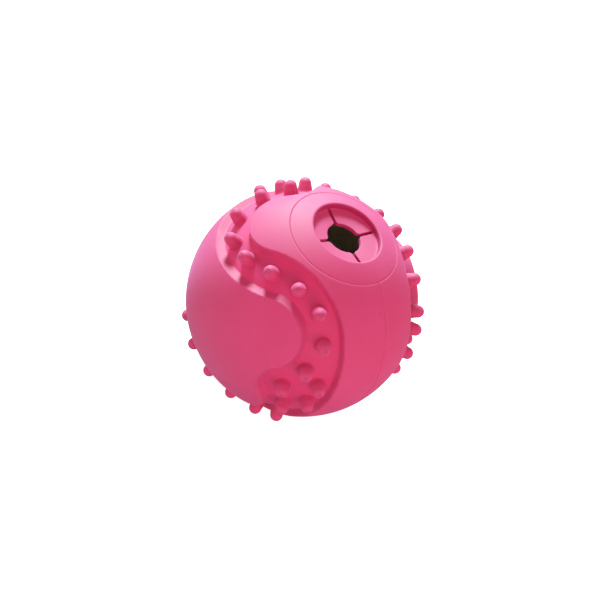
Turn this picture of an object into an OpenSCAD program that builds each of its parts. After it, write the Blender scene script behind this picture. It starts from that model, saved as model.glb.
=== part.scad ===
// Hollow rubber treat ball for a pet: two moulded halves bonded on a flat joint, and a round
// valve ring that carries four springy flaps round the treat hole.
// The origin is the ball's centre. +Z points out through the valve, and the joint is the plane y = 0.
// Two raised panels shaped like bones wrap round the ball at right angles to each other.
// Panel A lies along the joint, with its waist at +X. Panel B lies along z = 0, with its waist at -X.
// On a panel, "along" is the angle from its waist and "across" is the angle from its long centre line.

/* [Ball] */
// Diameter over the smooth raised panels
ball_d = 80; // [70:1:96]
// Rubber thickness under the floor of the channel
wall_t = 4.4; // [3.4:0.2:5.4]

/* [Panels] */
// Depth of the channel between the panels
channel_depth = 2.6; // [1.8:0.1:3.2]
// Half-width of panel A at its waist, in degrees
waist_half = 22.5; // [21:0.5:24]
// Where the straight waist ends and starts to flare, in degrees along
flare_along = 38; // [35:1:41]
// Radius of the hollow flare between waist and knob, in degrees
flare_radius = 45; // [43:0.5:47]
// Centre of a knob, in degrees along
knob_along = 111; // [109:0.5:113]
// Centre of a knob, in degrees across
knob_across = 21.8; // [20.6:0.2:23]
// Bottom of the notch in a panel's end, in degrees along
notch_along = 121.4; // [120:0.2:123]
// How far panel B's outline lies inside that of panel A, in degrees
panel_b_inset = 1.2; // [0:0.1:1.6]

/* [Studs] */
// Diameter of a stud where it meets the channel floor
stud_foot_d = 5.2; // [4.2:0.1:5.6]
// Diameter of a stud's round tip
stud_tip_d = 4.3; // [3:0.1:4.6]
// Height of the stud tips over the panels
stud_rise = 2.7; // [1.4:0.1:4]

/* [Valve ring] */
// Diameter of the ring's round face
ring_d = 38; // [35:0.5:39]
// Width of the shoulder that the ring rests on
shoulder_w = 3; // [2:0.1:3.6]
// Depth of the ring's shoulder below the crown of the ball
seat_depth = 9; // [8.2:0.2:9.6]
// Gap that the bonding cement fills round the ring
bond_gap = 0.05; // [0.02:0.01:0.1]
// Diameter of the socket's straight wall
socket_d = 23.4; // [20:0.2:25]
// Depth of the socket's floor below the crown of the ball
socket_depth = 4.5; // [4.2:0.1:5.4]
// Radius of the socket's rounded lip
lip_r = 1.1; // [0.6:0.1:1.4]
// How far the throat under the flaps stands back behind the socket's wall
throat_step = 0.7; // [0.4:0.1:1.2]
// Turn of the slits away from the joint, in degrees
slit_turn = -8; // [-20:1:20]

/* [Flaps] */
// Diameter of the treat hole
hole_d = 11.8; // [9:0.2:12.6]
// Thickness of a flap
flap_t = 1.4; // [1.2:0.1:2]
// Width of the slits between the flaps
slit_w = 1.1; // [0.8:0.05:1.3]
// Running clearance round a flap's rounded root
hinge_gap = 0.06; // [0.03:0.01:0.1]

/* [Hidden] */
$fn = 96;

// Ball
ball_r = ball_d / 2;
floor_r = ball_r - channel_depth;
cavity_r = floor_r - wall_t;
reach = 1.2 * ball_r;
core_r = 0.5 * cavity_r;

// Panel outline: flat cuts through the ball make the waist and the flares, and the knobs and
// notches run into them. All edges lean by the same angle, which the flat cuts give.
flare_across = waist_half + flare_radius;
flare_turns = flare_along * [-1, -0.6, -0.2, 0.2, 0.6, 1];
flare_dir = panel_dir(flare_along, flare_across);
knob_dir = panel_dir(knob_along, knob_across);
knob_touch = acos(flare_dir * knob_dir) - flare_radius;
// A knob is a little larger than one that only touches the flare, so that their edges cross.
knob_overlap = 0.2;
// The waist's cuts end a little before the knobs, and the bridge reaches a little into them.
body_margin = 0.8;
bridge_margin = [0.6, 1];
notch_step = notch_along - knob_along;
notch_radius = atan((cos(knob_touch) - cos(knob_across) * cos(notch_step))
                    / (sin(knob_touch) - cos(knob_across) * sin(notch_step)));
notch_dir = panel_dir(notch_along + notch_radius, 0);

// Studs: turn from +X about Z, and height over the XY plane, in degrees.
// Each row stud has eight mirror places.
row_studs = [[68.3, 48.7], [48, 44], [38.2, 29.9], [41, 14.3], [31.3, 6.7]];
// A corner stud stands halfway between the panels and has four places.
corner_stud = [90, 45];
// An end stud stands in front of a panel's notch and has four places.
end_stud = [46.7, 0];
both = [1, -1];
stud_dirs = concat([for (s = row_studs, y = both, z = both) stud_dir(s, y, z)],
                   [for (s = row_studs, y = both, z = both) swapped(stud_dir(s, y, z))],
                   [for (y = both, z = both) stud_dir(corner_stud, y, z)],
                   [for (y = both) stud_dir(end_stud, y, 1)],
                   [for (y = both) swapped(stud_dir(end_stud, y, 1))]);
stud_foot_r = stud_foot_d / 2;
stud_tip_r = stud_tip_d / 2;
stud_root = 0.5 * wall_t;
stud_top = ball_r + stud_rise - stud_tip_r;
stud_slope = (0.98 * stud_tip_r - stud_foot_r) / (stud_top - floor_r);

// Valve ring
ring_r = ring_d / 2;
spigot_r = ring_r - shoulder_w;
shoulder_z = ball_r - seat_depth;
socket_r = socket_d / 2;
socket_z = ball_r - socket_depth;
throat_r = socket_r + throat_step;
hole_r = hole_d / 2;
lip_at_r = socket_r + lip_r;
lip_at_z = sqrt(pow(ball_r - lip_r, 2) - pow(lip_at_r, 2)) + 0.05;

// Each flap turns on the chord between the ends of its two slits.
flap_count = 4;
hinge_x = socket_r * cos(180 / flap_count);
hinge_z = socket_z - flap_t / 2;
knuckle_r = 1.06 * flap_t / 2;
window_half = hinge_x + 0.85 * knuckle_r;
window_r = socket_r - 0.2;
knuckle_half = hinge_x - 1.5 * knuckle_r;
flap_corner_r = window_r - 0.4;

// Turn of flap number k about Z, counted from the front left one round to the front right one
function flap_turn(k) = slit_turn + (k + 0.5) * 360 / flap_count;
// Unit vector to a point of panel A
function panel_dir(along, across) =
    [cos(across) * cos(along), sin(across), cos(across) * sin(along)];
// Point where two round outlines with these centres and radii touch
function between(a, a_radius, b, b_radius) =
    (a * sin(b_radius) + b * sin(a_radius)) / sin(a_radius + b_radius);
function along_of(p) = atan2(p.z, p.x);
function across_of(p) = asin(p.y);
// Points of an outline that is drawn in by "inset" degrees
function flare_meets_knob(inset) = between(flare_dir, flare_radius + inset, knob_dir, knob_touch - inset);
function knob_meets_notch(inset) = between(knob_dir, knob_touch - inset, notch_dir, notch_radius + inset);
// Angle by which an edge stands out further on the channel floor than on the panel
function lean(inset) = flare_radius + inset - acos(ball_r * cos(flare_radius + inset) / floor_r);
// Unit vector to a stud, mirrored in the joint and in the XY plane
function stud_dir(s, y, z) = [cos(s[1]) * cos(s[0]), y * cos(s[1]) * sin(s[0]), z * sin(s[1])];
// The move that carries panel A onto panel B
function swapped(p) = [-p.x, p.z, p.y];
function on_panel(angle) = ball_r * [sin(angle), cos(angle)];
function on_floor(angle) = floor_r * [sin(angle), cos(angle)];

// Stands the Z axis of its children along a direction
module aim(dir) {
    rotate([0, acos(dir.z), atan2(dir.y, dir.x)]) children();
}

// Repeats a child on both sides of the joint
module both_sides() {
    for (side = [0, 1]) mirror([0, side, 0]) children();
}

// Repeats a child at both ends of panel A
module both_ends() {
    for (end = [0, 1]) mirror([0, 0, end]) children();
}

// Everything beyond the plane that cuts the ball in a circle of the flare's radius
module flare_cut(inset) {
    translate([-2 * reach, -2 * reach, ball_r * cos(flare_radius + inset)]) cube(4 * reach);
}

// Cone about Z that narrows outwards, for a knob
module knob_form(inset) {
    radius = knob_touch + knob_overlap - inset;
    top = on_panel(radius);
    foot = on_floor(radius + lean(inset));
    slope = (top.x - foot.x) / (top.y - foot.y);
    low_r = top.x + slope * (core_r - top.y);
    high_r = top.x + slope * (reach - top.y);
    translate([0, 0, core_r]) cylinder(h = reach - core_r, r1 = low_r, r2 = high_r);
}

// Cone about Z that widens outwards from a point, for a notch
module notch_form(inset) {
    top = on_panel(notch_radius + inset);
    foot = on_floor(notch_radius + inset - lean(inset));
    slope = (top.x - foot.x) / (top.y - foot.y);
    apex = top.y - top.x / slope;
    translate([0, 0, apex]) cylinder(h = reach - apex, r1 = 0, r2 = slope * (reach - apex));
}

// What lies behind the knobs of a panel, seen from its waist
module behind_body(inset) {
    back = reach / tan(along_of(flare_meets_knob(inset)) - body_margin);
    rotate([90, 0, 0])
        linear_extrude(height = 4 * reach, center = true)
            polygon(2 * [[0, 0], [back, reach], [-reach, reach], [-reach, -reach], [back, -reach]]);
}

// Joins the two knobs at an end of a panel
module bridge(inset) {
    corner = knob_meets_notch(inset);
    half = [along_of(corner) - knob_along, across_of(corner)] + bridge_margin;
    size = 2 * ball_r * [sin(half.x), sin(half.y)];
    translate([-size.x / 2, -size.y / 2, core_r]) cube([size.x, size.y, reach - core_r]);
}

// Outline of a panel in the place of panel A, cut straight through the ball's skin
module panel_form(inset) {
    difference() {
        cube(2 * reach, center = true);
        behind_body(inset);
        both_sides() for (turn = flare_turns) aim(panel_dir(turn, flare_across)) flare_cut(inset);
    }
    both_sides() both_ends() aim(knob_dir) knob_form(inset);
    both_ends()
        difference() {
            aim(panel_dir(knob_along, 0)) bridge(inset);
            aim(notch_dir) notch_form(inset);
        }
}

// A panel in the place of panel A
module panel(inset) {
    intersection() {
        sphere(r = ball_r);
        panel_form(inset);
    }
}

module panel_b() {
    rotate([90, 0, 0]) rotate([0, 0, 180]) panel(panel_b_inset);
}

// Bullet-shaped stud, rooted under the channel floor
module stud() {
    root_z = floor_r - stud_root;
    translate([0, 0, root_z])
        cylinder(h = stud_top - root_z, r1 = stud_foot_r - stud_slope * stud_root, r2 = 0.98 * stud_tip_r);
    translate([0, 0, stud_top]) sphere(r = stud_tip_r);
}

// Half of the ball on the side of the joint where y has the sign of "side"
module half_shell(side) {
    intersection() {
        difference() {
            union() {
                sphere(r = floor_r);
                panel(0);
                panel_b();
                for (dir = stud_dirs) if (side * dir.y > -0.01) aim(dir) stud();
            }
            sphere(r = cavity_r);
            translate([0, 0, shoulder_z]) cylinder(h = reach, r = ring_r + bond_gap);
            cylinder(h = reach, r = spigot_r + bond_gap);
        }
        translate([0, side * reach, 0]) cube(2 * reach, center = true);
    }
}

module left_half_shell() {
    color([0.84, 0.28, 0.45]) half_shell(1);
}

module right_half_shell() {
    color([0.80, 0.24, 0.41]) half_shell(-1);
}

// Section of the valve ring, with its floor plate still closed
module ring_section() {
    lip_out = [lip_at_r, lip_at_z] * reach / (ball_r - lip_r);
    difference() {
        intersection() {
            circle(r = ball_r);
            union() {
                translate([0, shoulder_z]) square([ring_r, reach]);
                square([spigot_r, reach]);
            }
        }
        circle(r = cavity_r);
        square([throat_r, socket_z - flap_t]);
        translate([0, socket_z]) square([socket_r, reach]);
        difference() {
            polygon([[0, lip_at_z], [lip_at_r, lip_at_z], lip_out, [0, 2 * reach]]);
            translate([lip_at_r, lip_at_z]) circle(r = lip_r);
        }
    }
}

// Repeats a child at the four flaps
module each_flap() {
    for (k = [0 : flap_count - 1]) rotate([0, 0, flap_turn(k)]) children();
}

module knuckle(r, half) {
    translate([hinge_x, 0, hinge_z]) rotate([90, 0, 0]) cylinder(h = 2 * half, r = r, center = true);
}

// Opening in the floor plate that the flaps close
module window() {
    translate([0, 0, hinge_z - flap_t])
        intersection() {
            translate([-window_half, -window_half, 0]) cube([2 * window_half, 2 * window_half, 2 * flap_t]);
            cylinder(h = 2 * flap_t, r = window_r);
        }
}

module valve_ring() {
    color([0.86, 0.31, 0.48])
        difference() {
            rotate_extrude() ring_section();
            rotate([0, 0, flap_turn(0)]) window();
            each_flap() knuckle(knuckle_r + hinge_gap, knuckle_half + hinge_gap);
        }
}

// A flat tongue between two slits, with a round root that turns in its groove in the ring
module flap(k) {
    slit_x = slit_w / 2 * sqrt(2);
    rotate([0, 0, flap_turn(k)]) {
        difference() {
            intersection() {
                translate([0, -hinge_x, hinge_z - flap_t / 2]) cube([hinge_x, 2 * hinge_x, flap_t]);
                translate([0, 0, hinge_z - flap_t])
                    linear_extrude(height = 2 * flap_t)
                        polygon([[slit_x, 0], [slit_x + reach, -reach], [slit_x + reach, reach]]);
                translate([0, 0, hinge_z - flap_t]) cylinder(h = 2 * flap_t, r = flap_corner_r);
            }
            translate([0, 0, hinge_z - flap_t]) cylinder(h = 2 * flap_t, r = hole_r);
        }
        knuckle(knuckle_r, knuckle_half);
    }
}

module front_left_flap() {
    color([0.78, 0.22, 0.39]) flap(0);
}

module rear_left_flap() {
    color([0.74, 0.20, 0.36]) flap(1);
}

module rear_right_flap() {
    color([0.78, 0.22, 0.39]) flap(2);
}

module front_right_flap() {
    color([0.74, 0.20, 0.36]) flap(3);
}

left_half_shell();
right_half_shell();
valve_ring();
front_left_flap();
rear_left_flap();
rear_right_flap();
front_right_flap();
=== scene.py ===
# Looks for the hollow rubber treat ball: two moulded halves with raised bone-shaped panels and
# rows of studs, a valve ring with a dished socket, and the four flaps round its treat hole.
# Everything is in metres in the part's own frame. The origin is the ball's centre, +Z points out
# through the valve, and the halves meet on the plane y = 0.

import math

import bmesh
import bpy
from mathutils import Matrix, Vector


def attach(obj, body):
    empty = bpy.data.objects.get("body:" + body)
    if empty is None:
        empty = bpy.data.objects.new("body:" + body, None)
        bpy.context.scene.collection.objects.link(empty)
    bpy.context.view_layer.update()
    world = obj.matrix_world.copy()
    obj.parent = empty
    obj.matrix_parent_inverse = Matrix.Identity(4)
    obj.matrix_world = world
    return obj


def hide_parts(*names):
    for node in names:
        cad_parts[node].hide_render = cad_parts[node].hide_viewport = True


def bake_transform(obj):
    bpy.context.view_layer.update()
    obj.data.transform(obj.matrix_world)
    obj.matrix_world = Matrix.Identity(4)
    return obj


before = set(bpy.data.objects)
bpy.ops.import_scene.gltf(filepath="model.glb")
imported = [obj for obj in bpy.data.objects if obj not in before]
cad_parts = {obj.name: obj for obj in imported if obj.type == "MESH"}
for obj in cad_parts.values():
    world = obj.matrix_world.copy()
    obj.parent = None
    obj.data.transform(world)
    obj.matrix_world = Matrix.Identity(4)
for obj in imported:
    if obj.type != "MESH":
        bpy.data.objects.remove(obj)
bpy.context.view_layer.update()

MM = 0.001
scene = bpy.context.scene

# Ball
BALL_R = 39.99 * MM
CHANNEL_DEPTH = 2.6 * MM
FLOOR_R = BALL_R - CHANNEL_DEPTH
CAVITY_R = 33 * MM

# Panels: "along" is the angle from a panel's waist, "across" the angle from its centre line
WAIST_HALF = math.radians(22.5)
FLARE_ALONG = math.radians(38)
FLARE_RADIUS = math.radians(45)
KNOB_ALONG = math.radians(111)
KNOB_ACROSS = math.radians(21.8)
NOTCH_ALONG = math.radians(121.4)
SECOND_INSET = math.radians(1.2)

# Walls of the channel: fall over run, and how much of the slope that the mould allows is used
LEAST_SLOPE, MOST_SLOPE = 1.05, 2.4
WALL_DRAFT = 0.75

# Fine lines: depth and width
JOINT_GROOVE = (0.2 * MM, 0.38 * MM)
RING_STEP = (0.26 * MM, 0.34 * MM)

# Grid of a half's skin: how many cells, and how much they crowd towards the joint and the valve
SKIN_COLUMNS, SKIN_ROWS = 320, 264
COLUMN_CROWD, ROW_CROWD = 0.45, 0.4
INNER_STEP = 8  # cells of the skin to one cell of the inside
PROBE_STEP = 0.001  # angle over which the distance to an edge is seen to change
SNAP_SHARE = 0.499  # share of a cell by which a point may move onto a wall's line
GRID_SIDE = 0.4999  # points further out than this lie on the joint and stay there
FIRST_ROW = 1e-4  # points before this share of the rows lie at the ring and stay there
LEAST_INWARDS = 0.01  # a wall that faces the joint less than this counts as this
WELD = 1e-7  # points closer than this are one
ANGLE_SLACK = 1e-5

# Attributes: the wall's line that a point lies on, and 1 on the top faces of the flaps
WALL_LINE = "wall line"
FLAP_FACE = "flap face"

# Studs: turn about Z from +X and height over the XY plane, in degrees
ROW_STUDS = [(68.3, 48.7), (48, 44), (38.2, 29.9), (41, 14.3), (31.3, 6.7)]
CORNER_STUD = (90, 45)
END_STUD = (46.7, 0)
ON_JOINT = 0.01  # a stud this close to the joint, as a share of the radius, belongs to both halves
STUD_TIP_Z, STUD_TIP_R = 3.05 * MM, 2.14 * MM
STUD_TIP_ARC = (4, 72)
STUD_STEPS, STUD_TIP_STEPS = 24, 6

# Valve ring
RING_R = 19 * MM
SHOULDER_Z = 31 * MM
SPIGOT_R = 16 * MM
SOCKET_R = 11.7 * MM
THROAT_R = 12.4 * MM
RING_SINK = 0.1 * MM
RING_EDGE_ROUND = 0.16 * MM
RING_STEPS, RING_FACE_STEPS, LIP_STEPS = 180, 26, 10
FACE_EVEN, FACE_CROWD = 0.3, 0.7  # even and growing part of the steps from the ring's edge
RIM_GAP, SEAT_GAP = 0.02 * MM, 0.05 * MM  # between ring and halves, on the face and below it
SEAT_ANGLE = math.asin((RING_R + RIM_GAP) / BALL_R)
LIP_R = 0.75 * MM

# Treat hole and flaps
HOLE_R = 5.95 * MM
FLAP_T = 1.4 * MM
WALL_FOOT_Z = 35.7 * MM
HOLE_EDGE_Z = 35.0 * MM
SLIT_W = 1.1 * MM
SLIT_TURN = math.radians(-8)
FLAP_ROWS, FLAP_COLUMNS = 14, 28
FLAP_CORNER = 0.9 * MM
FLAP_FILLET = 0.3 * MM
FLAP_SINK = 0.3 * MM
FLAP_BEVEL, BEVEL_STEPS = 0.16 * MM, 3
BEVEL_ANGLE = math.radians(50)
FLAPS = ["front_left_flap", "rear_left_flap", "rear_right_flap", "front_right_flap"]

# Rubber: tones as linear red, green and blue
# Painted shade: a deeper, darker pink for the channel's floor
CHANNEL_SHADE_TONES = (0.79, 0.026, 0.142, 1), (0.85, 0.031, 0.158, 1)
CHALKY_TONES = (0.77, 0.037, 0.150, 1), (0.84, 0.044, 0.170, 1)
# Painted shade: a darker pink for the channel's walls
WALL_SHADE_TONE = (0.72, 0.036, 0.146, 1)
# Painted shade: a much darker pink for the socket's wall
SOCKET_SHADE_TONE = (0.52, 0.003, 0.094, 1)
SCUFF_TONE = (0.84, 0.066, 0.208, 1)
SPECK_TONE = (0.30, 0.016, 0.05, 1)
# A darker tone for the studs' tips
DARK_TIP_TONE = (0.45, 0.012, 0.09, 1)
CAVITY_TONE = (0.76, 0.60, 0.47, 1)
SHEEN_TONE = (1.0, 0.30, 0.75, 1)

# Where the tones change: heights over the channel's floor, the socket wall's foot and the cavity's wall
WALLS_AT = (0.1 * MM, 0.8 * MM)
RAISED_AT = (1.7 * MM, 2.4 * MM)
DARK_TIP_AT = (4.9 * MM, 5.1 * MM)
SOCKET_END_AT = (1.7 * MM, 2.3 * MM)
CAVITY_AT = (0.2 * MM, 0.9 * MM)
SOCKET_REACH, FLAP_REACH = 0.5 * MM, 0.4 * MM
FOOT_SLACK = 0.05 * MM

# Noise in the rubber: waves to a metre and detail, and how much of it shows
CLOUDS, SCUFFS, PORES, GRAIN = (90.0, 4.0), (34.0, 5.0), (420.0, 2.0), (2600.0, 3.0)
NOISE_ROUGHNESS = 0.6
SCUFF_RANGE, MOST_SCUFF = (0.42, 0.72), 0.5
SPECK_CELLS, SPECK_ABOVE, SPECK_EDGE, SPECK_SHOW = 330.0, 0.8, (0.05, 0.1), 0.6
DARK_TIP_SHOW = 0.3
PORE_SHARE, GRAIN_STRENGTH, GRAIN_DEPTH = 0.8, 0.14, 0.1 * MM
RUBBER_ROUGHNESS = (0.70, 0.84)

# The photograph's view, in the part's frame. The shift is a share of the picture's width.
VIEW_RIGHT = Vector((0.55100, 0.73802, 0.38952))
VIEW_UP = Vector((-0.76887, 0.26751, 0.58076))
VIEW_BACK = Vector((0.32441, -0.61949, 0.71484))
VIEW_DISTANCE = 400 * MM
LENS = 69.45
SENSOR_WIDTH = 36
CLIP_START = 0.01
SHIFT = (-2.0 / 600, 0.55 / 600)

# Light: the floor's glow in the picture, and the white surround as a light and mirrored in the rubber
FLOOR_GLOW = 0.85
SURROUND_LIGHT = 0.44
MIRRORED_WHITE = 0.2
WHITE, PAPER_GREY = (1, 1, 1, 1), (0.5, 0.5, 0.5, 1)
FLOOR_HALF_WIDTH = 3
FLOOR_GAP = 0.2 * MM

# Lamps: the cool one has little red, so that the pink that it lights goes pale as in the photograph.
COOL, WARM = (0.33, 0.95, 0.84), (1.0, 0.92, 0.95)
STRIP_SIZE, FILL_SIZE = (0.12, 0.17), (0.45, 0.45)


class NodeSheet:
    """A node tree being drawn, with short calls for the nodes it uses."""

    def __init__(self, tree):
        self.tree = tree

    def node(self, kind, feeds=None, **settings):
        node = self.tree.nodes.new(kind)
        for name, value in settings.items():
            setattr(node, name, value)
        for name, value in (feeds or {}).items():
            self.feed(node.inputs[name], value)
        return node

    def feed(self, socket, value):
        if isinstance(value, bpy.types.NodeSocket):
            self.tree.links.new(value, socket)
        else:
            socket.default_value = value

    def math(self, operation, *values):
        return self.node("ShaderNodeMath", dict(enumerate(values)), operation=operation).outputs[0]

    def vector(self, operation, *values):
        node = self.node("ShaderNodeVectorMath", dict(enumerate(values)), operation=operation)
        return node.outputs["Value" if operation == "DOT_PRODUCT" else "Vector"]

    def scaled(self, vector, factor):
        node = self.node("ShaderNodeVectorMath", {0: vector, "Scale": factor}, operation="SCALE")
        return node.outputs["Vector"]

    def group(self, tree, feeds):
        return self.node("GeometryNodeGroup", feeds, node_tree=tree).outputs

    def xyz(self, x, y, z):
        return self.node("ShaderNodeCombineXYZ", {"X": x, "Y": y, "Z": z}).outputs[0]

    def split(self, vector):
        return self.node("ShaderNodeSeparateXYZ", {"Vector": vector}).outputs

    def pick(self, test, yes, no):
        """yes where test is 1, and no where it is 0"""
        return self.math("MULTIPLY_ADD", test, self.math("SUBTRACT", yes, no), no)

    def ramp(self, value, low, high, start, stop, shape="SMOOTHSTEP"):
        feeds = {"Value": value, "From Min": low, "From Max": high, "To Min": start, "To Max": stop}
        return self.node("ShaderNodeMapRange", feeds, interpolation_type=shape).outputs[0]


def new_group(name, inputs, outputs):
    """A node group with these sockets, given as {name: socket type}, its input and output nodes"""
    tree = bpy.data.node_groups.new(name, "GeometryNodeTree")
    for way, sockets in (("INPUT", inputs), ("OUTPUT", outputs)):
        for socket, socket_type in sockets.items():
            tree.interface.new_socket(socket, in_out=way, socket_type="NodeSocket" + socket_type)
    sheet = NodeSheet(tree)
    return sheet, sheet.node("NodeGroupInput").outputs, sheet.node("NodeGroupOutput").inputs


def run_nodes(tree, values, start_mesh, name):
    """Evaluates a geometry tree with these named inputs on a mesh, as a plain mesh"""
    holder = bpy.data.objects.new(name, start_mesh)
    scene.collection.objects.link(holder)
    modifier = holder.modifiers.new(name, "NODES")
    modifier.node_group = tree
    for item in tree.interface.items_tree:
        if item.in_out == "INPUT" and item.name in values:
            modifier[item.identifier] = values[item.name]
    bpy.context.view_layer.update()
    evaluated = holder.evaluated_get(bpy.context.evaluated_depsgraph_get())
    mesh = bpy.data.meshes.new_from_object(evaluated)
    holder.modifiers.clear()
    bpy.data.objects.remove(holder)
    return mesh


def panel_dir(along, across):
    """Direction at these angles from the waist and from the centre line of a panel"""
    flat = math.cos(across)
    return Vector((flat * math.cos(along), math.sin(across), flat * math.sin(along)))


# Panel outline

flare_dir = panel_dir(FLARE_ALONG, WAIST_HALF + FLARE_RADIUS)
knob_dir = panel_dir(KNOB_ALONG, KNOB_ACROSS)
knob_radius = flare_dir.angle(knob_dir) - FLARE_RADIUS
notch_step = NOTCH_ALONG - KNOB_ALONG
notch_radius = math.atan(
    (math.cos(knob_radius) - math.cos(KNOB_ACROSS) * math.cos(notch_step))
    / (math.sin(knob_radius) - math.cos(KNOB_ACROSS) * math.sin(notch_step))
)
notch_dir = panel_dir(NOTCH_ALONG + notch_radius, 0)
PANEL_VALUES = {
    "Waist Half Width": WAIST_HALF,
    "Flare Start": Vector((-math.sin(FLARE_ALONG), 0, math.cos(FLARE_ALONG))),
    "Flare Centre": flare_dir,
    "Flare Radius": FLARE_RADIUS,
    "Knob Centre": knob_dir,
    "Knob Radius": knob_radius,
    "Notch Centre": notch_dir,
    "Notch Radius": notch_radius,
    "Second Inset": SECOND_INSET,
}
PANEL_SOCKETS = {n: "Float" if isinstance(v, float) else "Vector" for n, v in PANEL_VALUES.items()}


def panel_edge_group():
    """Angle from a direction to the outline of the panel whose waist is at +X, negative on the panel"""
    sheet, given, result = new_group(
        "panel edge distance", {"Direction": "Vector", **PANEL_SOCKETS}, {"Distance": "Float"}
    )
    x, y, z = sheet.split(given["Direction"])
    place = sheet.xyz(x, sheet.math("ABSOLUTE", y), sheet.math("ABSOLUTE", z))

    def from_centre(centre):
        return sheet.math("ARCCOSINE", sheet.vector("DOT_PRODUCT", place, centre))

    def is_past(first, second):
        side = sheet.vector("CROSS_PRODUCT", first, second)
        return sheet.math("LESS_THAN", sheet.vector("DOT_PRODUCT", place, side), 0.0)

    waist = sheet.math("SUBTRACT", sheet.math("ARCSINE", sheet.split(place)[1]), given["Waist Half Width"])
    flare = sheet.math("SUBTRACT", given["Flare Radius"], from_centre(given["Flare Centre"]))
    knob = sheet.math("SUBTRACT", from_centre(given["Knob Centre"]), given["Knob Radius"])
    notch = sheet.math("SUBTRACT", given["Notch Radius"], from_centre(given["Notch Centre"]))
    on_waist = sheet.math("LESS_THAN", sheet.vector("DOT_PRODUCT", place, given["Flare Start"]), 0.0)
    end = sheet.pick(is_past(given["Knob Centre"], given["Notch Centre"]), knob, notch)
    side = sheet.pick(is_past(given["Flare Centre"], given["Knob Centre"]), end, flare)
    sheet.feed(result["Distance"], sheet.pick(on_waist, waist, side))
    return sheet.tree


def nearest_edge_group():
    """Angle from a direction to the nearer of the two panels' outlines, negative on a panel"""
    sheet, given, result = new_group(
        "nearest panel edge", {"Direction": "Vector", **PANEL_SOCKETS}, {"Distance": "Float"}
    )
    x, y, z = sheet.split(given["Direction"])
    swapped = sheet.xyz(sheet.math("MULTIPLY", x, -1.0), z, y)
    group = panel_edge_group()
    feeds = {name: given[name] for name in PANEL_VALUES}
    first, second = (
        sheet.group(group, {"Direction": seen, **feeds})["Distance"] for seen in (given["Direction"], swapped)
    )
    second = sheet.math("ADD", second, given["Second Inset"])
    sheet.feed(result["Distance"], sheet.math("MINIMUM", first, second))
    return sheet.tree


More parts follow.
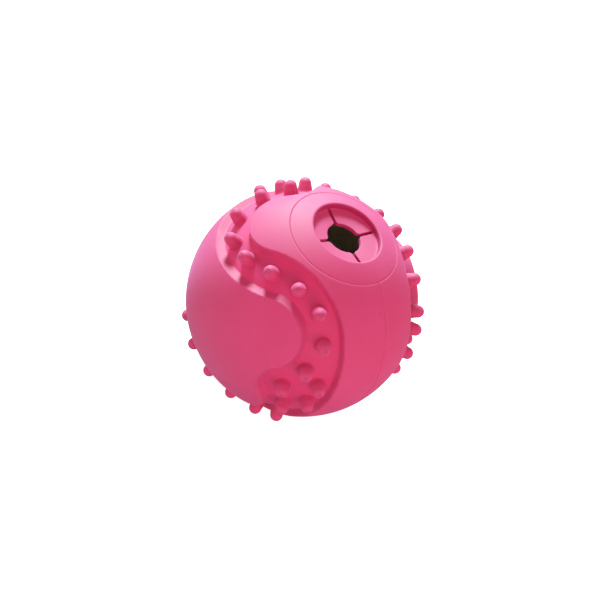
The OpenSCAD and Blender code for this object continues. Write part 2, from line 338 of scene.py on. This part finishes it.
def half_skin_tree():
    """Outer skin of one half: a grid wrapped round the valve axis and pressed in along the channel"""
    sheet, given, result = new_group(
        "half skin",
        {
            "Side": "Float", "Columns": "Int", "Rows": "Int", "Ball Radius": "Float",
            "Channel Depth": "Float", "Least Slope": "Float", "Most Slope": "Float", "Draft": "Float",
            "Seat Angle": "Float",
            "Joint Groove Depth": "Float", "Joint Groove Width": "Float",
            "Ring Step Depth": "Float", "Ring Step Width": "Float",
            "Material": "Material", **PANEL_SOCKETS,
        },
        {"Geometry": "Geometry"},
    )
    grid = sheet.node("GeometryNodeMeshGrid", {
        "Size X": 1.0, "Size Y": 1.0, "Vertices X": given["Columns"], "Vertices Y": given["Rows"],
    })
    place = sheet.split(sheet.node("GeometryNodeInputPosition").outputs[0])
    column_share = sheet.math("ADD", place[0], 0.5)
    row_share = sheet.math("ADD", place[1], 0.5)

    # Rows crowd towards the valve, and columns towards the joint, where the fine grooves are.
    column_wave = sheet.math("MULTIPLY", column_share, 2 * math.pi)
    row_wave = sheet.math("MULTIPLY", row_share, math.pi)
    crowd = -COLUMN_CROWD / (2 * math.pi)
    column_place = sheet.math("MULTIPLY_ADD", sheet.math("SINE", column_wave), crowd, column_share)
    turn = sheet.math("MULTIPLY", column_place, math.pi)
    fall = sheet.math("MULTIPLY_ADD", sheet.math("SINE", row_wave), -ROW_CROWD / math.pi, row_share)
    span = sheet.math("SUBTRACT", math.pi, given["Seat Angle"])
    past_seat = sheet.math("MULTIPLY", fall, span)
    down = sheet.math("ADD", past_seat, given["Seat Angle"])
    round_turn = (sheet.math("COSINE", turn), sheet.math("MULTIPLY", sheet.math("SINE", turn), given["Side"]))
    flat, height = sheet.math("SINE", down), sheet.math("COSINE", down)
    direction = sheet.xyz(*(sheet.math("MULTIPLY", flat, v) for v in round_turn), height)

    # Steps of one cell along a row and along a column, as angles, and the ways they go
    column_rate = sheet.math("MULTIPLY_ADD", sheet.math("COSINE", column_wave), -COLUMN_CROWD, 1.0)
    row_rate = sheet.math("MULTIPLY_ADD", sheet.math("COSINE", row_wave), -ROW_CROWD, 1.0)
    row_step = sheet.math("MULTIPLY", sheet.math("MULTIPLY", column_rate, math.pi), flat)
    row_step = sheet.math("DIVIDE", row_step, given["Columns"])
    column_step = sheet.math("DIVIDE", sheet.math("MULTIPLY", row_rate, span), given["Rows"])
    along_row = sheet.xyz(sheet.math("MULTIPLY", round_turn[1], sheet.math("MULTIPLY", given["Side"], -1.0)),
                          sheet.math("MULTIPLY", round_turn[0], given["Side"]), 0.0)
    along_column = sheet.xyz(*(sheet.math("MULTIPLY", height, v) for v in round_turn),
                             sheet.math("MULTIPLY", flat, -1.0))

    # Points close to the top or the foot of a panel's wall move onto it, which keeps both lines crisp.
    group = nearest_edge_group()
    feeds = {name: given[name] for name in PANEL_VALUES}

    def edge_at(seen):
        return sheet.group(group, {"Direction": seen, **feeds})["Distance"]

    edge = edge_at(direction)
    inside = sheet.math("LESS_THAN", sheet.math("ABSOLUTE", place[0]), GRID_SIDE)
    ways = (along_row, along_column)
    rates = []
    for way, free in zip(ways, (inside, 1.0)):
        ahead = edge_at(sheet.vector("ADD", direction, sheet.scaled(way, PROBE_STEP)))
        rate = sheet.math("DIVIDE", sheet.math("SUBTRACT", ahead, edge), PROBE_STEP)
        rate = sheet.math("MAXIMUM", sheet.math("MINIMUM", rate, 1.0), -1.0)
        rates.append(sheet.math("MULTIPLY", rate, free))
    spans = []
    for rate, step in zip(rates, (row_step, column_step)):
        spans.append(sheet.math("MULTIPLY", sheet.math("ABSOLUTE", rate), step))
    near = sheet.math("MULTIPLY", sheet.math("MAXIMUM", *spans), SNAP_SHARE)
    near = sheet.math("MULTIPLY", near, sheet.math("GREATER_THAN", row_share, FIRST_ROW))

    # A wall that faces the joint leans back, so that the half leaves its mould. The others are steep.
    away = sheet.vector("ADD", *(sheet.scaled(way, rate) for way, rate in zip(ways, rates)))
    inwards = sheet.math("MULTIPLY", sheet.split(away)[1], sheet.math("MULTIPLY", given["Side"], -1.0))
    lean = sheet.math("DIVIDE", sheet.math("ABSOLUTE", sheet.split(direction)[1]),
                      sheet.math("MAXIMUM", inwards, LEAST_INWARDS))
    slope = sheet.math("MULTIPLY", lean, given["Draft"])
    slope = sheet.math("MAXIMUM", sheet.math("MINIMUM", slope, given["Most Slope"]), given["Least Slope"])
    foot = sheet.math("DIVIDE", sheet.math("DIVIDE", given["Channel Depth"], slope), given["Ball Radius"])
    past_foot = sheet.math("SUBTRACT", edge, foot)
    at_top = sheet.math("LESS_THAN", sheet.math("ABSOLUTE", edge), near)
    at_foot = sheet.math("LESS_THAN", sheet.math("ABSOLUTE", past_foot), near)
    shift = sheet.pick(at_top, edge, sheet.math("MULTIPLY", at_foot, past_foot))
    back = sheet.math("MULTIPLY", shift, -1.0)
    moves = [sheet.scaled(way, sheet.math("MULTIPLY", rate, back)) for way, rate in zip(ways, rates)]
    snapped = sheet.vector("NORMALIZE", sheet.vector("ADD", direction, sheet.vector("ADD", *moves)))
    line = sheet.math("MULTIPLY_ADD", at_foot, 2.0, at_top)  # 1 at the top of a wall, 2 at its foot

    # The nearer panel's edge sets the depth of the wall, and the joint and the ring's seat cut in a little.
    wall = sheet.math("MULTIPLY", edge_at(snapped), sheet.math("MULTIPLY", slope, given["Ball Radius"]))
    dip = sheet.math("MINIMUM", sheet.math("MAXIMUM", wall, 0.0), given["Channel Depth"])
    joint = sheet.math("MULTIPLY", sheet.math("ABSOLUTE", sheet.split(snapped)[1]), given["Ball Radius"])
    ring = sheet.math("MULTIPLY", past_seat, given["Ball Radius"])
    for where, name in ((joint, "Joint Groove"), (ring, "Ring Step")):
        cut = sheet.ramp(where, 0.0, given[name + " Width"], given[name + " Depth"], 0.0)
        dip = sheet.math("ADD", dip, cut)
    radius = sheet.math("SUBTRACT", given["Ball Radius"], dip)
    marked = sheet.node("GeometryNodeStoreNamedAttribute", {
        "Geometry": grid.outputs["Mesh"], "Name": WALL_LINE, "Value": line,
    }, data_type="INT", domain="POINT")
    moved = sheet.node("GeometryNodeSetPosition", {
        "Geometry": marked.outputs[0], "Position": sheet.scaled(snapped, radius),
    })
    closed = sheet.node("GeometryNodeMergeByDistance", {"Geometry": moved.outputs[0], "Distance": WELD})
    made = sheet.node("GeometryNodeSetMaterial", {
        "Geometry": closed.outputs[0], "Material": given["Material"],
    })
    sheet.feed(result["Geometry"], made.outputs[0])
    return sheet.tree


def stud_tree():
    """Stands a stud outwards on each point of a mesh"""
    sheet, given, result = new_group(
        "stud rows",
        {"Geometry": "Geometry", "Stud": "Object", "Material": "Material"},
        {"Geometry": "Geometry"},
    )
    stud = sheet.node("GeometryNodeObjectInfo", {"Object": given["Stud"]})
    outward = sheet.node("FunctionNodeAlignRotationToVector", {
        "Vector": sheet.node("GeometryNodeInputPosition").outputs[0],
    }, axis="Z")
    rows = sheet.node("GeometryNodeInstanceOnPoints", {
        "Points": given["Geometry"], "Instance": stud.outputs["Geometry"], "Rotation": outward.outputs[0],
    })
    real = sheet.node("GeometryNodeRealizeInstances", {"Geometry": rows.outputs[0]})
    made = sheet.node("GeometryNodeSetMaterial", {"Geometry": real.outputs[0], "Material": given["Material"]})
    sheet.feed(result["Geometry"], made.outputs[0])
    return sheet.tree


# Materials

def pink_rubber():
    """Chalky moulded rubber: clouded, scuffed where it is raised, specked and grained, with darker stud tips,
    a dull cavity, and painted shade in the channel, on its walls and in the socket
    """
    material = bpy.data.materials.new("pink rubber")
    material.use_nodes = True
    sheet = NodeSheet(material.node_tree)
    shader = material.node_tree.nodes["Principled BSDF"]
    place = sheet.node("ShaderNodeTexCoord").outputs["Object"]
    from_centre = sheet.node("ShaderNodeVectorMath", {0: place}, operation="LENGTH").outputs["Value"]
    x, y, z = sheet.split(place)
    squares = [sheet.math("MULTIPLY", side, side) for side in (x, y)]
    from_axis = sheet.math("SQRT", sheet.math("ADD", *squares))

    def noise(scale, detail):
        feeds = {"Vector": place, "Scale": scale, "Detail": detail, "Roughness": NOISE_ROUGHNESS}
        return sheet.node("ShaderNodeTexNoise", feeds).outputs["Fac"]

    def blend(factor, first, second):
        node = sheet.node("ShaderNodeMix", {"Factor": factor}, data_type="RGBA")
        for socket, value in zip([i for i in node.inputs if i.type == "RGBA"], (first, second)):
            sheet.feed(socket, value)
        return next(o for o in node.outputs if o.type == "RGBA")

    def passing(value, base, heights, start, stop):
        """Goes from start to stop where the value passes these heights over the base"""
        return sheet.ramp(value, base + heights[0], base + heights[1], start, stop)

    # The channel's floor, its walls and the socket's wall get deeper, darker pinks as painted shade in these
    # recesses. The raised faces and the flaps' tops keep the chalky tones.
    cloud = noise(*CLOUDS)
    on_flaps = sheet.node("ShaderNodeAttribute", attribute_name=FLAP_FACE).outputs["Fac"]
    raised = passing(from_centre, FLOOR_R, RAISED_AT, 0.0, 1.0)
    # The socket's wall, above the flaps, gets painted shade.
    socket_shade = sheet.math("MULTIPLY", sheet.math("LESS_THAN", from_axis, SOCKET_R + SOCKET_REACH),
                           passing(z, WALL_FOOT_Z, SOCKET_END_AT, 1.0, 0.0))
    socket_shade = sheet.math("MULTIPLY", socket_shade, sheet.math("GREATER_THAN", z, WALL_FOOT_Z - FOOT_SLACK))
    open_faces = sheet.math("MAXIMUM", sheet.math("SUBTRACT", raised, socket_shade), on_flaps)
    # The walls get a darker painted shade than the channel's floor.
    walls = passing(from_centre, FLOOR_R, WALLS_AT, 0.0, 1.0)
    channel_shade = blend(walls, blend(cloud, *CHANNEL_SHADE_TONES), WALL_SHADE_TONE)
    tone = blend(open_faces, blend(socket_shade, channel_shade, SOCKET_SHADE_TONE), blend(cloud, *CHALKY_TONES))

    # Scuffs on the raised faces, scattered dark specks, and darker tips on the studs
    scuff = sheet.math("MULTIPLY", sheet.ramp(noise(*SCUFFS), *SCUFF_RANGE, 0.0, MOST_SCUFF), open_faces)
    tone = blend(scuff, tone, SCUFF_TONE)
    cells = sheet.node("ShaderNodeTexVoronoi", {"Vector": place, "Scale": SPECK_CELLS}).outputs
    chosen = sheet.math("GREATER_THAN", sheet.split(cells["Color"])[0], SPECK_ABOVE)
    speck = sheet.math("MULTIPLY", sheet.ramp(cells["Distance"], *SPECK_EDGE, SPECK_SHOW, 0.0), chosen)
    tone = blend(speck, tone, SPECK_TONE)
    # The studs' tips are darker.
    tone = blend(passing(from_centre, FLOOR_R, DARK_TIP_AT, 0.0, DARK_TIP_SHOW), tone, DARK_TIP_TONE)

    # The cavity's wall is dull. The flaps reach as far in, and stay pink.
    inside = passing(from_centre, CAVITY_R, CAVITY_AT, 1.0, 0.0)
    by_flaps = sheet.math("MULTIPLY", sheet.math("LESS_THAN", from_axis, SOCKET_R + FLAP_REACH),
                          sheet.math("GREATER_THAN", z, 0.0))
    inside = sheet.math("MULTIPLY", inside, sheet.math("SUBTRACT", 1.0, by_flaps))
    sheet.feed(shader.inputs["Base Color"], blend(inside, tone, CAVITY_TONE))

    height = sheet.math("MULTIPLY_ADD", noise(*PORES), PORE_SHARE, noise(*GRAIN))
    bump = sheet.node("ShaderNodeBump", {
        "Strength": GRAIN_STRENGTH, "Distance": GRAIN_DEPTH, "Height": height,
    })
    sheet.feed(shader.inputs["Normal"], bump.outputs[0])
    roughness = sheet.ramp(scuff, 0.0, MOST_SCUFF, *RUBBER_ROUGHNESS, "LINEAR")
    sheet.feed(shader.inputs["Roughness"], roughness)
    shader.inputs["Specular IOR Level"].default_value = 0.7
    shader.inputs["Sheen Weight"].default_value = 0.22
    shader.inputs["Sheen Roughness"].default_value = 0.45
    shader.inputs["Sheen Tint"].default_value = SHEEN_TONE
    return material


# Meshes

def finish_mesh(bm, name, material):
    """Turns every face outwards, shades them smooth and puts the mesh in the scene"""
    bmesh.ops.recalc_face_normals(bm, faces=bm.faces)
    mesh = bpy.data.meshes.new(name)
    bm.to_mesh(mesh)
    bm.free()
    mesh.materials.clear()
    mesh.materials.append(material)
    mesh.shade_smooth()
    piece = bpy.data.objects.new(name, mesh)
    scene.collection.objects.link(piece)
    return piece


def lathe(bm, profile, steps, closed):
    """Turns a profile of (radius, height) points round Z. A point on the axis is made once."""
    rings = []
    for radius, height in profile:
        if radius == 0:
            rings.append([bm.verts.new((0, 0, height))] * steps)
        else:
            turns = [2 * math.pi * k / steps for k in range(steps)]
            rings.append([bm.verts.new((radius * math.cos(a), radius * math.sin(a), height)) for a in turns])
    pairs = list(zip(rings, rings[1:])) + ([(rings[-1], rings[0])] if closed else [])
    for low, high in pairs:
        for k in range(steps):
            corners = [low[k - 1], low[k], high[k], high[k - 1]]
            face = [v for i, v in enumerate(corners) if v not in corners[:i]]
            bm.faces.new(face)


def arc(centre, radius, start, stop, steps):
    """Points of an arc in a profile, with angles in degrees from the radius axis"""
    turns = [math.radians(start + (stop - start) * k / steps) for k in range(steps + 1)]
    return [(centre[0] + radius * math.cos(a), centre[1] + radius * math.sin(a)) for a in turns]


def stud_form():
    """Bullet-shaped stud on a flared foot, with a shallow dish in its tip and its foot at the origin"""
    # Radius and height of the outline's points, in millimetres
    side = [(3.05, -0.4), (2.88, -0.2), (2.74, 0.02), (2.64, 0.25), (2.57, 0.55), (2.51, 1.0),
            (2.42, 1.6), (2.3, 2.2), (2.18, 2.75)]
    dish = [(0.5, 5.13), (0.38, 5.13), (0.26, 5.1), (0.13, 5.06), (0, 5.04)]
    side, dish = ([(r * MM, z * MM) for r, z in part] for part in (side, dish))
    tip = arc((0, STUD_TIP_Z), STUD_TIP_R, *STUD_TIP_ARC, STUD_TIP_STEPS)
    bm = bmesh.new()
    lathe(bm, [(0, side[0][1])] + side + tip + dish, STUD_STEPS, False)
    mesh = bpy.data.meshes.new("stud form")
    bm.to_mesh(mesh)
    bm.free()
    mesh.shade_smooth()
    form = bpy.data.objects.new("stud form", mesh)
    scene.collection.objects.link(form)
    return form


def stud_points(side):
    """Mesh of the places on the channel floor where the studs of one half stand"""
    def placed(stud, y, z):
        turn, height = (math.radians(a) for a in stud)
        flat = math.cos(height)
        return Vector((flat * math.cos(turn), y * flat * math.sin(turn), z * math.sin(height)))

    both = (1, -1)
    first = [placed(s, y, z) for s in ROW_STUDS for y in both for z in both]
    first += [placed(END_STUD, y, 1) for y in both]
    dirs = first + [Vector((-d.x, d.z, d.y)) for d in first]
    dirs += [placed(CORNER_STUD, y, z) for y in both for z in both]
    mesh = bpy.data.meshes.new("stud points")
    mesh.from_pydata([d * FLOOR_R for d in dirs if side * d.y > -ON_JOINT], [], [])
    return mesh


def half_moulding(side, name, skin_tree, studs_tree, stud, rubber):
    """One half of the ball: the outer skin, its studs, and the walls that close it inside"""
    values = {
        "Side": float(side), "Columns": SKIN_COLUMNS + 1, "Rows": SKIN_ROWS + 1, "Ball Radius": BALL_R,
        "Channel Depth": CHANNEL_DEPTH, "Least Slope": LEAST_SLOPE, "Most Slope": MOST_SLOPE,
        "Draft": WALL_DRAFT, "Seat Angle": SEAT_ANGLE,
        "Joint Groove Depth": JOINT_GROOVE[0], "Joint Groove Width": JOINT_GROOVE[1],
        "Ring Step Depth": RING_STEP[0], "Ring Step Width": RING_STEP[1],
        "Material": rubber, **PANEL_VALUES,
    }
    bm = bmesh.new()
    bm.from_mesh(run_nodes(skin_tree, values, bpy.data.meshes.new("skin"), "skin"))
    fold_on_lines(bm)
    close_half(bm, side)
    bm.normal_update()

    # A stud on the joint is cut there, and each half keeps its own part.
    studs = bmesh.new()
    studs.from_mesh(run_nodes(studs_tree, {"Stud": stud, "Material": rubber}, stud_points(side), "studs"))
    everything = studs.verts[:] + studs.edges[:] + studs.faces[:]
    bmesh.ops.bisect_plane(studs, geom=everything, dist=WELD, plane_co=(0, 0, 0), plane_no=(0, side, 0),
                           clear_inner=True)
    bmesh.ops.holes_fill(studs, edges=[e for e in studs.edges if e.is_boundary], sides=0)
    spare = bpy.data.meshes.new("studs")
    studs.to_mesh(spare)
    studs.free()
    bm.from_mesh(spare)
    return finish_mesh(bm, name, rubber)


def fold_on_lines(bm):
    """Splits the cells that a wall's top or foot crosses from corner to corner along that line"""
    line = bm.verts.layers.int[WALL_LINE]
    for face in [f for f in bm.faces if len(f.verts) == 4]:
        corners = face.verts[:]
        for a, c in (corners[0::2], corners[1::2]):
            if a[line] and a[line] == c[line]:
                bmesh.utils.face_split(face, a, c)
                break
    bm.verts.layers.int.remove(line)


def close_half(bm, side):
    """Adds the joint face, the ring's seat and the cavity to the outer skin of a half"""
    def fall(v):
        return math.acos(max(-1, min(1, v.co.z / v.co.length)))

    edge = {v for e in bm.edges if e.is_boundary for v in e.verts}
    on_joint = [v for v in edge if abs(v.co.y) < WELD]
    front = sorted((v for v in on_joint if v.co.x > -WELD), key=fall)
    back = sorted((v for v in on_joint if v.co.x < WELD), key=fall)
    rim = sorted((v for v in edge if fall(v) < SEAT_ANGLE + ANGLE_SLACK), key=lambda v: -v.co.x)
    counts = (len(front) - 1, len(back) - 1, len(rim) - 1)
    if counts != (SKIN_ROWS, SKIN_ROWS, SKIN_COLUMNS):
        raise ValueError("the skin's edge doesn't match its grid: %s" % (counts,))

    falls = [fall(v) for v in front[::INNER_STEP]]
    turns = [math.atan2(abs(v.co.y), v.co.x) for v in rim[::INNER_STEP]]
    inner_start = math.asin((SPIGOT_R + SEAT_GAP) / CAVITY_R)

    def ring(radius, height):
        return [bm.verts.new((radius * math.cos(a), side * radius * math.sin(a), height)) for a in turns]

    seat = ring(RING_R + SEAT_GAP, SHOULDER_Z)
    ledge = ring(SPIGOT_R + SEAT_GAP, SHOULDER_Z)
    cavity = []
    for angle in falls[:-1]:
        share = (angle - falls[0]) / (math.pi - falls[0])
        down = inner_start + share * (math.pi - inner_start)
        cavity.append(ring(CAVITY_R * math.sin(down), CAVITY_R * math.cos(down)))
    cavity.append([bm.verts.new((0, 0, -CAVITY_R))] * len(turns))

    def face(corners):
        bm.faces.new([v for i, v in enumerate(corners) if v not in corners[:i]])

    last = len(turns) - 1
    for i in range(last):
        face(rim[i * INNER_STEP:(i + 1) * INNER_STEP + 1] + [seat[i + 1], seat[i]])
        for low, high in zip([seat, ledge] + cavity, [ledge] + cavity):
            face([low[i], low[i + 1], high[i + 1], high[i]])
    for outer, i in ((front, 0), (back, last)):
        for j in range(len(cavity) - 1):
            start = [cavity[0][i], ledge[i], seat[i]] if j == 0 else [cavity[j][i]]
            face(outer[j * INNER_STEP:(j + 1) * INNER_STEP + 1] + [cavity[j + 1][i]] + start)


def valve_ring(rubber):
    """Ring with a domed face, a rounded lip and the socket, closed round the throat below"""
    face_r = BALL_R - RING_SINK
    lip_at = (SOCKET_R + LIP_R, math.sqrt((face_r - LIP_R) ** 2 - (SOCKET_R + LIP_R) ** 2))
    lip_end = math.degrees(math.atan2(lip_at[1], lip_at[0]))
    edge = math.asin(RING_R / face_r)
    lip = math.radians(90 - lip_end)

    # The points of the face crowd towards the ring's edge, which is rounded off.
    face = []
    for k in range(RING_FACE_STEPS + 1):
        share = k / RING_FACE_STEPS
        angle = edge + (lip - edge) * (FACE_EVEN * share + FACE_CROWD * share * share)
        dip = max(0, 1 - (edge - angle) * face_r / RING_EDGE_ROUND)
        radius = face_r - RING_EDGE_ROUND * dip * dip
        face.append((radius * math.sin(angle), radius * math.cos(angle)))
    lip_points = arc(lip_at, LIP_R, lip_end, 180, LIP_STEPS)[1:]
    plate_z = HOLE_EDGE_Z - FLAP_T
    throat_low = math.sqrt(CAVITY_R ** 2 - THROAT_R ** 2)
    spigot_low = math.sqrt(CAVITY_R ** 2 - SPIGOT_R ** 2)
    profile = [(SPIGOT_R, SHOULDER_Z), (RING_R, SHOULDER_Z)] + face + lip_points
    profile += [(SOCKET_R, WALL_FOOT_Z), (SOCKET_R, plate_z), (THROAT_R, plate_z), (THROAT_R, throat_low)]
    profile += [(SPIGOT_R, spigot_low)]
    bm = bmesh.new()
    lathe(bm, profile, RING_STEPS, True)
    return finish_mesh(bm, "valve_ring_moulding", rubber)


def flap(name, turn, rubber):
    """Tongue between two slits, joined to the socket's wall, with its edges rounded"""
    rows, columns = FLAP_ROWS, FLAP_COLUMNS
    wall_r = SOCKET_R + FLAP_SINK
    half_arc = HOLE_R * (math.pi / 4) - SLIT_W / 2
    slope = (WALL_FOOT_Z - HOLE_EDGE_Z) / (SOCKET_R - HOLE_R)
    bm = bmesh.new()
    face_mark = bm.faces.layers.float.new(FLAP_FACE)
    top, bottom = [], []
    for i in range(rows + 1):
        top.append([])
        bottom.append([])
        for j in range(columns + 1):
            across = math.sin(math.pi / 2 * (2 * j / columns - 1))
            bend = max(0, (abs(across) * half_arc - half_arc + FLAP_CORNER) / FLAP_CORNER)
            inner = HOLE_R + FLAP_CORNER * (1 - math.sqrt(max(0, 1 - bend * bend)))
            r = inner + (wall_r - inner) * (i / rows)
            angle = turn + across * (math.pi / 4 - math.asin(SLIT_W / 2 / r))
            z = HOLE_EDGE_Z + slope * (r - HOLE_R)
            climb = min(1, max(0, (r - SOCKET_R + FLAP_FILLET) / FLAP_FILLET))
            lift = FLAP_FILLET * (1 - math.sqrt(1 - climb * climb))
            x, y = r * math.cos(angle), r * math.sin(angle)
            top[-1].append(bm.verts.new((x, y, z + lift)))
            bottom[-1].append(bm.verts.new((x, y, z - FLAP_T)))
    for i in range(rows):
        for j in range(columns):
            for layer in (top, bottom):
                face = bm.faces.new((layer[i][j], layer[i + 1][j], layer[i + 1][j + 1], layer[i][j + 1]))
                face[face_mark] = float(layer is top)
    loop = [(i, 0) for i in range(rows)] + [(rows, j) for j in range(columns)]
    loop += [(i, columns) for i in range(rows, 0, -1)] + [(0, j) for j in range(columns, 0, -1)]
    for (a, b), (c, d) in zip(loop, loop[1:] + loop[:1]):
        bm.faces.new((top[a][b], top[c][d], bottom[c][d], bottom[a][b]))
    piece = finish_mesh(bm, name, rubber)
    bevel = piece.modifiers.new("edge", "BEVEL")
    bevel.width = FLAP_BEVEL
    bevel.segments = BEVEL_STEPS
    bevel.limit_method = "ANGLE"
    bevel.angle_limit = BEVEL_ANGLE
    evaluated = piece.evaluated_get(bpy.context.evaluated_depsgraph_get())
    mesh = bpy.data.meshes.new_from_object(evaluated)
    piece.modifiers.clear()
    piece.data = mesh
    mesh.shade_smooth()
    return piece


# The object

rubber = pink_rubber()
stud = stud_form()
skin_tree, studs_tree = half_skin_tree(), stud_tree()
for side, word in ((1, "left"), (-1, "right")):
    piece = half_moulding(side, word + "_half_moulding", skin_tree, studs_tree, stud, rubber)
    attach(piece, "ball")
    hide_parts(word + "_half_shell")
bpy.data.objects.remove(stud)

piece = valve_ring(rubber)
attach(piece, "ball")
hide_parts("valve_ring")

for k, node in enumerate(FLAPS):
    turn = SLIT_TURN + (k + 0.5) * math.pi / 2
    piece = flap(node + "_tongue", turn, rubber)
    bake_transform(piece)
    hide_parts(node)


# Camera, floor and light

camera = bpy.data.objects.new("camera", bpy.data.cameras.new("camera"))
scene.collection.objects.link(camera)
camera.data.lens = LENS
camera.data.sensor_width = SENSOR_WIDTH
camera.data.shift_x, camera.data.shift_y = SHIFT
camera.data.clip_start = CLIP_START
pose = Matrix((VIEW_RIGHT, VIEW_UP, VIEW_BACK)).transposed().to_4x4()
pose.translation = VIEW_BACK * VIEW_DISTANCE
camera.matrix_world = pose
scene.camera = camera


def soft_lamp(name, colour, spot, size, power):
    """Soft lamp that faces the ball. Its spot is in metres to the right, up and towards the camera."""
    lamp = bpy.data.objects.new(name, bpy.data.lights.new(name, "AREA"))
    scene.collection.objects.link(lamp)
    lamp.data.shape = "RECTANGLE"
    lamp.data.size, lamp.data.size_y = size
    lamp.data.color = colour
    lamp.data.energy = power
    right, up, back = spot
    place = VIEW_RIGHT * right + VIEW_UP * up + VIEW_BACK * back
    away = place.normalized()
    along = away.cross(VIEW_RIGHT).normalized()
    aim = Matrix((along.cross(away), along, away)).transposed().to_4x4()
    aim.translation = place
    lamp.matrix_world = aim
    return lamp


soft_lamp("top strip", COOL, (-0.01, 0.6, -0.02), STRIP_SIZE, power=10.5)
for fill in (
    soft_lamp("front fill", WARM, (0.10, -0.27, 0.54), FILL_SIZE, power=0.75),
    soft_lamp("low right fill", WARM, (0.27, -0.43, 0.32), FILL_SIZE, power=1.2),
    soft_lamp("left fill", WARM, (-0.50, 0.24, 0.22), FILL_SIZE, power=0.95),
    soft_lamp("right fill", WARM, (0.56, 0.04, -0.10), FILL_SIZE, power=0.62),
):
    # The fills light the rubber softly, and don't show in its gloss.
    fill.visible_glossy = False


def rays(sheet):
    """1 on the rays that see the surround straight or through a clear piece, and 1 on mirrored rays"""
    path = sheet.node("ShaderNodeLightPath").outputs
    return sheet.math("MAXIMUM", path["Is Camera Ray"], path["Is Transmission Ray"]), path["Is Glossy Ray"]


def white_floor():
    """Paper that is grey as a light on the ball, white in the picture and dim in the rubber's gloss"""
    material = bpy.data.materials.new("white floor")
    material.use_nodes = True
    sheet = NodeSheet(material.node_tree)
    sheet.tree.nodes.remove(material.node_tree.nodes["Principled BSDF"])
    straight, mirrored = rays(sheet)
    paper = sheet.node("ShaderNodeBsdfDiffuse", {"Color": PAPER_GREY})
    glow = sheet.node("ShaderNodeEmission", {"Color": WHITE, "Strength": FLOOR_GLOW})
    lit = sheet.node("ShaderNodeAddShader", {0: paper.outputs[0], 1: glow.outputs[0]})
    dim = sheet.node("ShaderNodeEmission", {"Color": WHITE, "Strength": MIRRORED_WHITE})
    seen = sheet.node("ShaderNodeMixShader", {0: straight, 1: paper.outputs[0], 2: lit.outputs[0]})
    mix = sheet.node("ShaderNodeMixShader", {0: mirrored, 1: seen.outputs[0], 2: dim.outputs[0]})
    sheet.feed(material.node_tree.nodes["Material Output"].inputs["Surface"], mix.outputs[0])
    return material


bm = bmesh.new()
bmesh.ops.create_grid(bm, x_segments=1, y_segments=1, size=FLOOR_HALF_WIDTH)
floor_mesh = bpy.data.meshes.new("floor")
bm.to_mesh(floor_mesh)
bm.free()
floor_mesh.transform(Matrix.Translation((0, 0, -BALL_R - FLOOR_GAP)))
floor_mesh.materials.append(white_floor())
floor = bpy.data.objects.new("floor", floor_mesh)
scene.collection.objects.link(floor)

world = bpy.data.worlds.new("studio")
scene.world = world
world.use_nodes = True
sheet = NodeSheet(world.node_tree)
backdrop = world.node_tree.nodes["Background"]
straight, mirrored = rays(sheet)
seen = sheet.pick(straight, 1.0, SURROUND_LIGHT)
sheet.feed(backdrop.inputs["Strength"], sheet.pick(mirrored, MIRRORED_WHITE, seen))
backdrop.inputs["Color"].default_value = WHITE

scene.view_settings.view_transform = "Standard"
